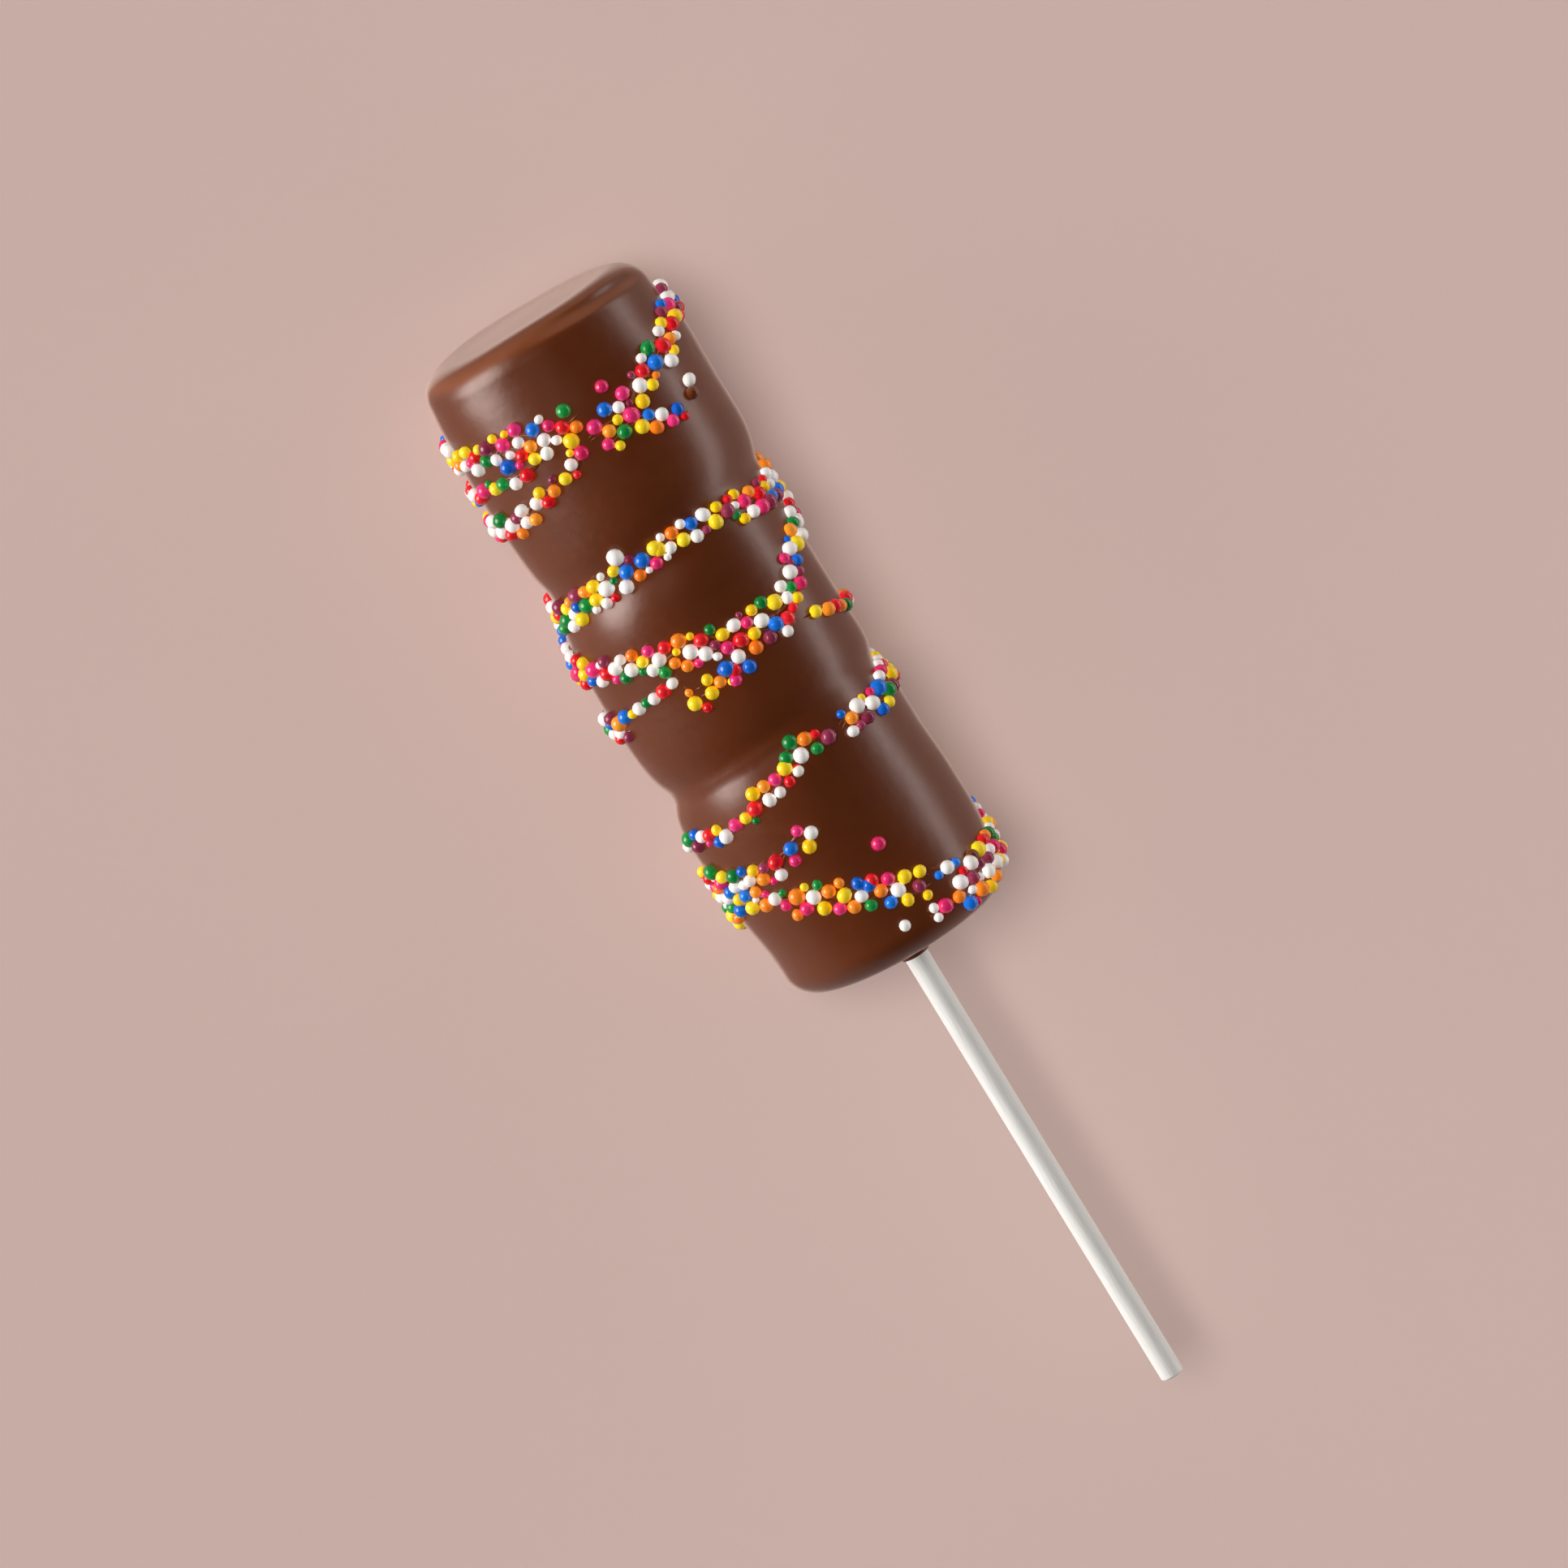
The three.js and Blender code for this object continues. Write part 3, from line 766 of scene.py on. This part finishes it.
def make_sugar(name, deep, light):
    material, nodes, links = new_material("sugar_" + name)
    shader = nodes["Principled BSDF"]
    place = nodes.new("ShaderNodeTexCoord").outputs["Object"]
    tone = nodes.new("ShaderNodeAttribute")
    tone.attribute_name = "tone"
    base = add_mix(nodes, links, tone.outputs["Fac"], srgb(*deep), srgb(*light))
    specks = add_mottle(nodes, links, place, 1300, 0.35, 1.3)
    links.new(add_mix(nodes, links, specks, base, srgb(*light)), shader.inputs["Base Color"])
    links.new(add_range(nodes, links, specks, 0.2, 0.24), shader.inputs["Roughness"])
    links.new(add_bump(nodes, links, specks, 0.00001, 0.1), shader.inputs["Normal"])
    shader.inputs["Subsurface Weight"].default_value = 0.12
    shader.inputs["Subsurface Scale"].default_value = 0.0006
    return material


sugar_materials = {name: make_sugar(name, c["deep"], c["light"]) for name, c in sugar_colours.items()}
print(len(sugar_materials), "sugar colours")

# %% [markdown]
# ## The sugar balls
# Balls of one colour make one piece. A ball starts as a small icosphere, is made slightly
# egg-shaped and turned at random, and is sunk a third of its width into the chocolate. Balls that
# would lie under the pop, between it and the table, are left away.

# %% Shape and place the balls
foot_clearance = 0.15
touching = 1.3
redraws = 1
colour_draw = make_draw(907)


def draw_colour():
    at = colour_draw() * sum(c["share"] for c in sugar_colours.values())
    for name, colour in sugar_colours.items():
        at -= colour["share"]
        if at <= 0:
            return name
    return "white"


def colours_beside(ball):
    """The colours that the touching balls already have."""
    found = set()
    for i in (-1, 0, 1):
        for j in (-1, 0, 1):
            cell = cell_of(ball["u"] + i * cell_size, ball["v"] + j * cell_size)
            for near in ball_cells.get(cell, []):
                apart = math.hypot(ball["u"] - near["u"], ball["v"] - near["v"])
                if apart < touching * (ball["radius"] + near["radius"]):
                    found.add(near["colour"])
    return found


def choose_colour(ball):
    """A drawn colour, drawn anew up to redraws times (once here) if a touching ball has it."""
    beside = colours_beside(ball)
    name = draw_colour()
    for _ in range(redraws):
        if name in beside:
            name = draw_colour()
    return name


def egg_shape():
    stretch = [1 + 0.07 * (2 * colour_draw() - 1) for _ in range(3)]
    swing = Matrix.Rotation(2 * math.pi * colour_draw(), 4, "Z")
    tip = Matrix.Rotation(math.pi * colour_draw(), 4, "X")
    return swing @ tip @ Matrix.Diagonal((*stretch, 1))


def ball_centre(ball):
    angle = ball["u"] / unroll_radius
    lift = ball["radius"] * (1 - 2 * ball_sunk)
    return coat_point(ball["v"], angle) + coat_normal(ball["v"], angle) * lift


ball_meshes = {name: bmesh.new() for name in sugar_colours}
tone_layers = {name: bm.verts.layers.float.new("tone") for name, bm in ball_meshes.items()}
shown = 0
for ball in balls:
    name = ball["colour"] = ball["colour"] or choose_colour(ball)
    shape = egg_shape()
    tone = colour_draw()
    centre = ball_centre(ball)
    if centre.z - ball["radius"] < foot_clearance:
        continue
    place = Matrix.Translation(centre) @ shape
    made = bmesh.ops.create_icosphere(ball_meshes[name], subdivisions=2, radius=ball["radius"], matrix=place)
    for vert in made["verts"]:
        vert[tone_layers[name]] = tone
    shown += 1
for name, bm in ball_meshes.items():
    finish_piece("sugar_balls_" + name, bm, sugar_materials[name], "coated_marshmallows")
print(shown, "balls shown")

# %% [markdown]
# ## The paper stick
# The stick is paper rolled tight and pressed round. Its shape is one outline again: softened edges
# at both ends, and fine rings at the end faces where the layers of the roll show. Its finish is
# matt, with fibres that run along it.

# %% The paper material


def make_paper():
    material, nodes, links = new_material("rolled_paper")
    shader = nodes["Principled BSDF"]
    place = nodes.new("ShaderNodeTexCoord").outputs["Object"]
    stretch = nodes.new("ShaderNodeMapping")
    stretch.inputs["Scale"].default_value = (1, 0.06, 1)
    links.new(place, stretch.inputs["Vector"])
    fibres = add_mottle(nodes, links, stretch.outputs["Vector"], 3600, 0.3, 0.7)
    clouds = add_mottle(nodes, links, place, 160, 0.35, 0.65)
    base = add_mix(nodes, links, fibres, srgb(214, 212, 207), srgb(226, 224, 220))
    links.new(add_mix(nodes, links, clouds, base, srgb(220, 218, 213)), shader.inputs["Base Color"])
    links.new(add_range(nodes, links, fibres, 0.62, 0.78), shader.inputs["Roughness"])
    links.new(add_bump(nodes, links, fibres, 0.00004, 0.35), shader.inputs["Normal"])
    return material


paper = make_paper()
print("material", paper.name)

# %% Turn the stick
stick_edge = 0.4
layer_rings = 4
ring_depth = 0.06


def end_face():
    """The end of the roll from its middle outwards: how far out, and how far in from the end."""
    face = [(0, ring_depth)]
    flat = stick_radius - stick_edge
    for ring in range(layer_rings):
        low = flat * ring / layer_rings
        high = flat * (ring + 1) / layer_rings
        face += [(low + 0.06, 0), (high - 0.06, 0), (high, ring_depth)]
    edge = [
        (flat + stick_edge * math.sin(a), stick_edge * (1 - math.cos(a)))
        for a in steps(0, math.pi / 2, 6)
    ]
    return face[:-1] + edge


near_end = [(radius, depth) for radius, depth in end_face()]
far_end = [(radius, stick_length - depth) for radius, depth in reversed(end_face())]
shaft = [(stick_radius, place) for place in steps(stick_edge, stick_length - stick_edge, 60)[1:-1]]
stick = spin_outline(near_end + shaft + far_end, 64)
bmesh.ops.translate(stick, vec=(axis_side, stick_end, axis_height), verts=stick.verts)
stick_piece = finish_piece("paper_stick", stick, paper, "stick")

# %% [markdown]
# ## The table
# The pop lies on a plain pale surface. Its colour is a dusty pink-beige, nearly even, with just
# enough mottling to look like a real matt surface.

# %% The floor
floor_size = 4000


def make_floor_material():
    material, nodes, links = new_material("pale_table")
    shader = nodes["Principled BSDF"]
    place = nodes.new("ShaderNodeTexCoord").outputs["Object"]
    clouds = add_mottle(nodes, links, place, 6, 0.3, 0.7)
    tint = add_mix(nodes, links, clouds, srgb(227, 199, 190), srgb(229, 201, 192))
    links.new(tint, shader.inputs["Base Color"])
    shader.inputs["Roughness"].default_value = 0.9
    shader.inputs["Specular IOR Level"].default_value = 0
    return material


floor_mesh = bmesh.new()
bmesh.ops.create_grid(floor_mesh, x_segments=1, y_segments=1, size=floor_size / 2 * MM)
floor_data = bpy.data.meshes.new("table_top")
floor_mesh.to_mesh(floor_data)
floor_mesh.free()
floor_data.materials.append(make_floor_material())
floor = bpy.data.objects.new("table_top", floor_data)
bpy.context.scene.collection.objects.link(floor)
print("table", floor_size, "mm wide")

# %% [markdown]
# ## Light
# The light is plain and soft. A broad light from above gives the soft shadow on the right. A low one
# from the left and a weak one from the right throw no shadow and light the sides. Two soft boxes
# only show as gloss: a round one makes the pale sheen on the left shoulders, and a long low strip
# makes the streak that runs down the right side.

# %% Lights


def add_soft_box(name, shape, place, width, height, watts):
    data = bpy.data.lights.new(name, "AREA")
    data.shape = shape
    data.size = width * MM
    data.size_y = height * MM
    data.energy = watts
    data.color = (1, 0.94, 0.9)
    light = bpy.data.objects.new(name, data)
    bpy.context.scene.collection.objects.link(light)
    light.location = Vector(place) * MM
    light.rotation_euler = (Vector(pop_middle) - Vector(place)).to_track_quat("-Z", "Y").to_euler()
    light.visible_diffuse = False
    return light


def add_sun(name, direction, strength, spread, shadow):
    data = bpy.data.lights.new(name, "SUN")
    data.energy = strength
    data.angle = math.radians(spread)
    data.use_shadow = shadow
    light = bpy.data.objects.new(name, data)
    bpy.context.scene.collection.objects.link(light)
    light.rotation_euler = Vector(direction).to_track_quat("-Z", "Y").to_euler()
    light.visible_glossy = False
    return light


pop_middle = (0, 30, 18)
add_sun("overhead_light", (0.2, -0.27, -1), 1.2, 26, True)
add_sun("side_light", (0.8, -0.47, -0.22), 3.7, 30, False)
add_sun("right_light", (-0.97, 0.1, -0.04), 1.6, 30, False)
add_soft_box("left_soft_box", "ELLIPSE", (-360, 232, 150), 350, 340, 2.8)
add_soft_box("right_strip", "RECTANGLE", (620, 0, 76), 900, 148, 1.7)

# %% The surroundings


def set_surroundings():
    world = bpy.data.worlds.new("studio")
    world.use_nodes = True
    nodes, links = world.node_tree.nodes, world.node_tree.links
    direction = nodes.new("ShaderNodeTexCoord").outputs["Generated"]
    split = nodes.new("ShaderNodeSeparateXYZ")
    links.new(direction, split.inputs["Vector"])
    masks = {}
    for axis, low, high in (("X", -0.8, 0.6), ("Z", 0.0, 0.6)):
        spread = nodes.new("ShaderNodeMapRange")
        spread.interpolation_type = "SMOOTHSTEP"
        spread.inputs["From Min"].default_value = low
        spread.inputs["From Max"].default_value = high
        links.new(split.outputs[axis], spread.inputs["Value"])
        masks[axis] = spread.outputs["Result"]
    around = add_mix(nodes, links, masks["X"], srgb(255, 240, 232), srgb(232, 218, 212))
    tint = add_mix(nodes, links, masks["Z"], around, srgb(52, 47, 45))
    links.new(tint, nodes["Background"].inputs["Color"])
    nodes["Background"].inputs["Strength"].default_value = 0.45
    bpy.context.scene.world = world


set_surroundings()
bpy.context.scene.view_settings.view_transform = "Standard"

# %% [markdown]
# ## The camera
# The photograph looks down on the pop from above its covered end, with the stick running to the
# lower right. A long lens far away keeps the form from bending.

# %% The camera's place and turn
camera_tilt = math.radians(10)
camera_roll = math.radians(31.45)
camera_distance = 1084
aim_point = (axis_side - 3.3, 13.35, axis_height)

camera_data = bpy.data.cameras.new("camera")
camera_data.lens = 179.77
camera_data.sensor_width = 36
camera_data.clip_end = 10
camera = bpy.data.objects.new("camera", camera_data)
bpy.context.scene.collection.objects.link(camera)
turn = Matrix.Rotation(-camera_tilt, 3, "X") @ Matrix.Rotation(-camera_roll, 3, "Z")
camera.rotation_euler = turn.to_euler()
camera.location = (Vector(aim_point) + turn @ Vector((0, 0, camera_distance))) * MM
bpy.context.scene.camera = camera
print("camera at", [round(v, 3) for v in camera.location])
